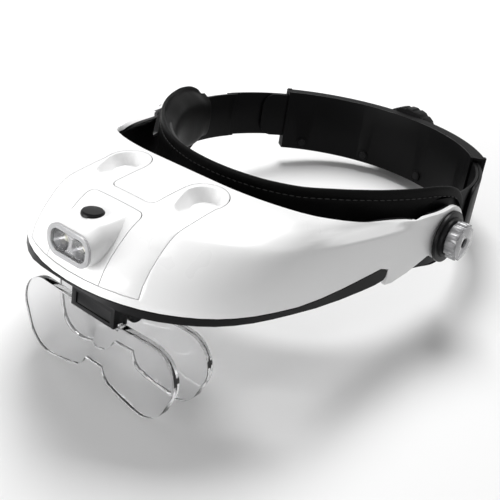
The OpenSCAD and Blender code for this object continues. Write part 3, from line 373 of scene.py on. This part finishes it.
# Each piece's angle under which it is shaded smooth, and the width of its eased edges
EASED = {
    "visor_shell": (28, 0.25), "visor_frame": (28, 0.0), "light_cover": (28, 0.2),
    "lamp_housing": (30, 0.0), "front_lens": (30, 0.35), "rear_lens": (30, 0.35),
    "lamp_bezel": (35, 0.25), "lamp_window": (35, 0.15), "push_button": (35, 0.2),
    "left_side_knob": (35, 0.3), "right_side_knob": (35, 0.3), "left_washer": (35, 0.3),
    "right_washer": (35, 0.3), "left_rack_arm": (35, 0.2), "right_rack_arm": (35, 0.2),
    "housing_outer_cover": (35, 0.25), "housing_inner_cover": (35, 0.2),
    "rear_knob": (35, 0.3), "lens_carrier": (35, 0.3), "headband_strip": (35, 0.2),
}
BELOW_ARM_TOP = {"visor_shell": 0.0, "visor_frame": 0.5}
for node, (smooth_angle, edge) in EASED.items():
    finished = edges_eased(node, smooth_angle, edge)
    if node in BELOW_ARM_TOP:
        lean_edge_in(finished, BELOW_ARM_TOP[node])


# ---------------------------------------------------------------- padded band
HEAD_CENTRE_Y = 163.0
BAND_R = 93.0
TOP_EDGE = ((60, 101.3), (74, 101.5), (82, 102.3), (90, 104), (100, 105.2), (115, 106.3),
            (135, 107), (146, 106), (154, 103), (159, 98.5), (161, 92))
BOTTOM_EDGE = ((60, 69), (74, 69), (90, 67.5), (110, 64.5), (130, 62), (146, 61), (152, 62.5),
               (158, 68), (161, 72))


def round_head(angle, radius, height):
    """A worn place from its angle off straight ahead, in degrees, its radius and height."""
    a = math.radians(angle)
    return radius * math.sin(a), HEAD_CENTRE_Y - radius * math.cos(a), height


def band_y(angle):
    """How far back the band is at an angle, where its edges' heights are read."""
    return HEAD_CENTRE_Y - BAND_R * math.cos(math.radians(angle))


def leather_section(top, bottom, plump, rim_height):
    """The sleeve's outline as (radius, height) points: the outer face from the bottom up,
    the flat sewn rim, and then the padded inner face down. Plump is 0 where the pad is
    flat and 1 where it is full."""
    rim = max(top - rim_height, 99.7)
    low_rim = min(bottom + 5.0, 70.2)
    pad = 84.6 - 1.5 * plump
    return ((92.6, bottom), (93.7, bottom + 0.5), (94.0, bottom + 2.0), (94.15, bottom + 6.0),
            (94.2, (top + bottom) / 2 - 6), (94.2, (top + bottom) / 2 + 6), (94.15, top - 8.0),
            (94.05, top - 6.0), (93.75, top - 5.2), (94.0, top - 4.4), (94.0, top - 2.4),
            (93.8, top - 0.7), (93.0, top), (92.2, top - 0.3), (91.8, top - 1.2),
            (91.7, rim + 0.3), (91.2, rim - 0.4), (89.6, rim - 1.1), (87.4, rim - 2.4),
            (85.2 - plump, rim - 5.0), (pad, rim - 10.0), (pad - 0.4, (rim + low_rim) / 2 + 1),
            (pad, low_rim + 10.0), (85.2 - plump, low_rim + 5.0), (87.4, low_rim + 2.2),
            (89.6, low_rim + 1.0), (91.2, low_rim + 0.3), (91.7, low_rim - 0.4),
            (91.7, bottom + 1.0), (92.0, bottom + 0.2))


def swept_round_head(name, angles, section_at, finish):
    """A closed form swept round the head, with one face over each end."""
    rings = [section_at(angle) for angle in angles]
    count = len(rings[0])
    places = [on_table(*round_head(angle, r, z)) for angle, ring in zip(angles, rings)
              for r, z in ring]
    faces = [(i * count + j, i * count + (j + 1) % count,
              (i + 1) * count + (j + 1) % count, (i + 1) * count + j)
             for i in range(len(rings) - 1) for j in range(count)]
    faces.append(tuple(reversed(range(count))))
    last = (len(rings) - 1) * count
    faces.append(tuple(range(last, last + count)))
    mesh = bpy.data.meshes.new(name)
    mesh.from_pydata(places, [], faces)
    piece = bpy.data.objects.new(name, mesh)
    bpy.context.collection.objects.link(piece)
    mesh.materials.append(finish)
    select_only(piece)
    bpy.ops.object.mode_set(mode="EDIT")
    bpy.ops.mesh.select_all(action="SELECT")
    bpy.ops.mesh.normals_make_consistent(inside=False)
    bpy.ops.object.mode_set(mode="OBJECT")
    return piece


END_ANGLE = 88.7
END_ROUND = 14.0         # degrees over which the pad swells from its ends
RIM_HEIGHT = 5.0
RIM_OVER_CUT = 2.7       # the rim's height over the room for the visor's arm
CUT_STARTS = (50, 64)


def leather_at(angle):
    y = band_y(angle)
    plump = max(0.0, min(1.0, (END_ANGLE - abs(angle)) / END_ROUND))
    over_cut = blend_between(abs(angle), *CUT_STARTS)
    rim_height = RIM_HEIGHT - (RIM_HEIGHT - RIM_OVER_CUT) * over_cut
    return leather_section(along(TOP_EDGE, y), along(BOTTOM_EDGE, y), plump ** 0.5,
                           rim_height)


ends = [-END_ANGLE, -88.0, -87.0, -86.0, -84.5, -82.5]
band_angles = ends + [a * 2.5 for a in range(-32, 33)] + [-a for a in reversed(ends)]
sleeve = swept_round_head("leather_sleeve", band_angles, leather_at, FINISHES["leather"])
finish_with(sleeve, "SUBSURF", levels=2, render_levels=2)

# Room in the sleeve for the round end of each of the visor's arms
PIVOT = (142.0, 81.5)
CUT_R = 19.7
CUT_DEPTH = 12.0
CUT_MIDDLE_X = 94.3
for side_sign in (1, -1):
    bpy.ops.object.select_all(action="DESELECT")
    bpy.ops.mesh.primitive_cylinder_add(vertices=96, radius=CUT_R * MM,
                                        depth=CUT_DEPTH * MM)
    punch = bpy.context.object
    punch.matrix_world = (Matrix.Translation(on_table(side_sign * CUT_MIDDLE_X, *PIVOT))
                          @ Matrix.Rotation(math.radians(90), 4, "Y"))
    finish_with(sleeve, "BOOLEAN", operation="DIFFERENCE", object=punch, solver="EXACT")
    bpy.data.objects.remove(punch)
select_only(sleeve)
bpy.ops.object.shade_smooth_by_angle(angle=math.radians(40))
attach(sleeve, "headgear")
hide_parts("band_leather")


def foam_at(_angle):
    """The foam's outline, the same all the way."""
    return ((89.9, 72), (89.9, 97), (89.0, 98.4), (87.0, 97.6), (85.4, 94), (84.9, 88),
            (84.9, 80), (85.4, 74.6), (87.0, 71.2), (89.0, 70.6))


foam = swept_round_head("foam_pad", [a * 4.0 for a in range(-15, 16)], foam_at,
                        FINISHES["foam"])
finish_with(foam, "SUBSURF", levels=1, render_levels=1)
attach(foam, "headgear")
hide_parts("forehead_cushion")

# Stitches along the rim, in the furrow under its top edge; their grey colour is partly painted
# highlight
STITCH_STEP = 3.4
STITCH_SIZE = (1.35, 0.26, 0.26)
STITCH_R = 93.95
SEAM_DROP = 5.2
SEAM_END_ANGLE = 84.0
SEAM_R = 94.0
step_angle = math.degrees(STITCH_STEP / SEAM_R)


def on_seam(angle):
    height = along(TOP_EDGE, band_y(angle)) - SEAM_DROP
    return Vector(on_table(*round_head(angle, STITCH_R, height)))


stitches = []
bpy.ops.object.select_all(action="DESELECT")
bpy.ops.mesh.primitive_uv_sphere_add(segments=8, ring_count=6, radius=1.0)
stitch = bpy.context.object
reach = int(SEAM_END_ANGLE / step_angle)
for i in range(-reach, reach + 1):
    here = on_seam(i * step_angle)
    along_seam = on_seam(i * step_angle + 1.0) - here
    copy = stitch.copy()
    copy.data = stitch.data.copy()
    bpy.context.collection.objects.link(copy)
    copy.data.transform(Matrix.Translation(here)
                        @ along_seam.to_track_quat("X", "Z").to_matrix().to_4x4()
                        @ Matrix.Diagonal((*(size * MM for size in STITCH_SIZE), 1.0)))
    stitches.append(copy)
bpy.data.objects.remove(stitch)
bpy.ops.object.select_all(action="DESELECT")
for copy in stitches:
    copy.select_set(True)
bpy.context.view_layer.objects.active = stitches[0]
bpy.ops.object.join()
seam_thread = bpy.context.object
seam_thread.name = "rim_stitches"
# Black thread, coloured dark grey instead of black: the lighter colour is a painted highlight
# along the seam's ridge.
thread = Finish("black_thread_painted_highlight", (0.04, 0.04, 0.04), 0.6, Specular_IOR_Level=0.2)
thread.to("Roughness", 0.5 + thread.noise(2000.0) * 0.2)
seam_thread.data.materials.clear()
seam_thread.data.materials.append(thread.material)
bpy.ops.object.shade_smooth()
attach(seam_thread, "headgear")

# ---------------------------------------------------------------- studio
CAMERA_PLACE = (264.3, -246.3, 251.0)
CAMERA_AHEAD = (-0.5385, 0.7261, -0.4276)
CAMERA_UP = (-0.3771, 0.2463, 0.8929)
camera = bpy.data.objects.new("camera", bpy.data.cameras.new("camera"))
bpy.context.collection.objects.link(camera)
ahead = leaning(*CAMERA_AHEAD)
upwards = leaning(*CAMERA_UP)
side = ahead.cross(upwards).normalized()
upwards = side.cross(ahead)
camera.matrix_world = Matrix.Translation(on_table(*CAMERA_PLACE)) @ Matrix(
    (side, upwards, -ahead)).transposed().to_4x4()
camera.data.lens = 63.0
camera.data.sensor_width = 36.0
camera.data.clip_start = 0.01
bpy.context.scene.camera = camera

bpy.ops.object.select_all(action="DESELECT")
bpy.ops.mesh.primitive_plane_add(size=12.0, location=(0, 0, 0))
table = bpy.context.object
table.name = "table"
table_finish = Finish("pale_table", (0.86, 0.86, 0.86), 0.9, Specular_IOR_Level=0.2)
table.data.materials.append(table_finish.material)


def softbox(name, place, aim, size, power):
    lamp = bpy.data.objects.new(name, bpy.data.lights.new(name, "AREA"))
    lamp.data.shape = "RECTANGLE"
    lamp.data.size, lamp.data.size_y = size
    lamp.data.energy = power
    lamp.location = place
    lamp.rotation_euler = (Vector(aim) - Vector(place)).to_track_quat("-Z", "Y").to_euler()
    bpy.context.collection.objects.link(lamp)


softbox("overhead_softbox", place=(-0.25, 0.42, 1.0), aim=(0, 0, 0.05), size=(0.5, 0.5),
        power=11.5)
softbox("front_softbox", place=(-0.5, -1.2, 0.4), aim=(0, -0.05, 0.05), size=(0.9, 0.6),
        power=14.0)

# The world lights the object dimly, and is white to the camera and in gloss and glass
WORLD_LIGHT = 0.34
WORLD_SEEN = 1.0
world = bpy.data.worlds.new("studio")
bpy.context.scene.world = world
world.use_nodes = True
tree = world.node_tree
tree.nodes.clear()
lit = tree.nodes.new("ShaderNodeBackground")
lit.inputs["Strength"].default_value = WORLD_LIGHT
seen = tree.nodes.new("ShaderNodeBackground")
seen.inputs["Strength"].default_value = WORLD_SEEN
rays = tree.nodes.new("ShaderNodeLightPath")
blend = tree.nodes.new("ShaderNodeMixShader")
out = tree.nodes.new("ShaderNodeOutputWorld")
direct = rays.outputs["Is Camera Ray"]
for ray in ("Is Glossy Ray", "Is Transmission Ray"):
    either = tree.nodes.new("ShaderNodeMath")
    either.operation = "MAXIMUM"
    tree.links.new(direct, either.inputs[0])
    tree.links.new(rays.outputs[ray], either.inputs[1])
    direct = either.outputs[0]
tree.links.new(direct, blend.inputs[0])
tree.links.new(lit.outputs[0], blend.inputs[1])
tree.links.new(seen.outputs[0], blend.inputs[2])
tree.links.new(blend.outputs[0], out.inputs[0])
bpy.context.scene.view_settings.view_transform = "Standard"
